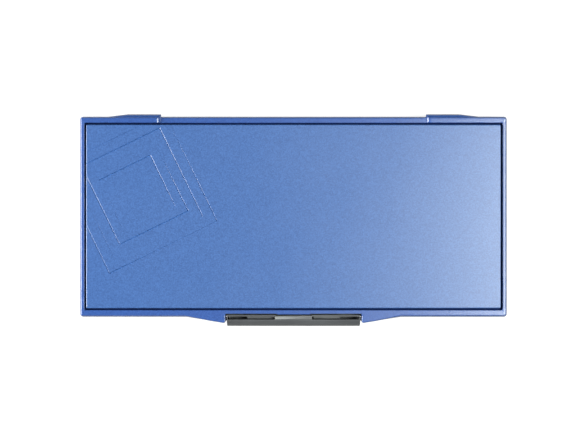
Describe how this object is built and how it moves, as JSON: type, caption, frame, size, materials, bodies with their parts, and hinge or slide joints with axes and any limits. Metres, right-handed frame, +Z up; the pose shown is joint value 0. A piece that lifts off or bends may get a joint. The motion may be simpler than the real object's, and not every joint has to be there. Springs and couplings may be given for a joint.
{
  "type": "ink pad",
  "caption": "Wide ink pad in a hinged plastic case: lift-in inked cushion, pearl blue lid with a raised panel, and a grey latch bar across the front.",
  "frame": {"origin": "middle of the whole length and depth, on the plane that the feet stand on", "axes": "+X to the right along the long side, +Y to the hinge at the back, +Z up, with the latch at the front on -Y"},
  "size_m": [0.2, 0.0996, 0.0186],
  "materials": {
    "base_plastic": "satin moulded dark grey plastic",
    "foot_rubber": "matt",
    "pin_steel": "drawn wire",
    "cartridge_plastic": "fine matt",
    "board_plastic": "smooth sheet",
    "inked_felt": "pressed felt soaked with blue ink",
    "inked_foam": "open foam soaked with blue ink",
    "inked_cloth": "fine plain weave, damp with blue ink",
    "lid_pearl": "fine pearl, satin gloss",
    "panel_pearl": "fine pearl grain, satin gloss",
    "liner_plastic": "smooth sheet",
    "seal_rubber": "soft closed-cell rubber",
    "latch_plastic": "satin moulded grey plastic"
  },
  "bodies": {
    "base": {"base_tray": "base_plastic", "foot_front_left": "foot_rubber", "foot_front_right": "foot_rubber", "foot_rear_left": "foot_rubber", "foot_rear_right": "foot_rubber", "hinge_pin_left": "pin_steel", "hinge_pin_right": "pin_steel", "pad_cartridge": "cartridge_plastic", "backing_board": "board_plastic", "felt_reservoir": "inked_felt", "foam_layer": "inked_foam", "pad_cloth": "inked_cloth", "cloth_frame": "cartridge_plastic"},
    "lid": {"lid_shell": "lid_pearl", "lid_panel": "panel_pearl", "lid_liner": "liner_plastic", "lid_seal": "seal_rubber"},
    "latch": {"latch_bar": "latch_plastic"}
  },
  "joints": [
    {"name": "lid_hinge", "type": "hinge", "parent": "base", "child": "lid", "pos_m": [0, 0.04718, 0.0105], "axis": [-1, 0, 0], "range_deg": [0, 120]},
    {"name": "latch_pivot", "type": "hinge", "parent": "lid", "child": "latch", "pos_m": [0, -0.04612, 0.0158], "axis": [-1, 0, 0], "range_deg": [0, 15], "stiffness_Nm_per_rad": 0.1}
  ]
}
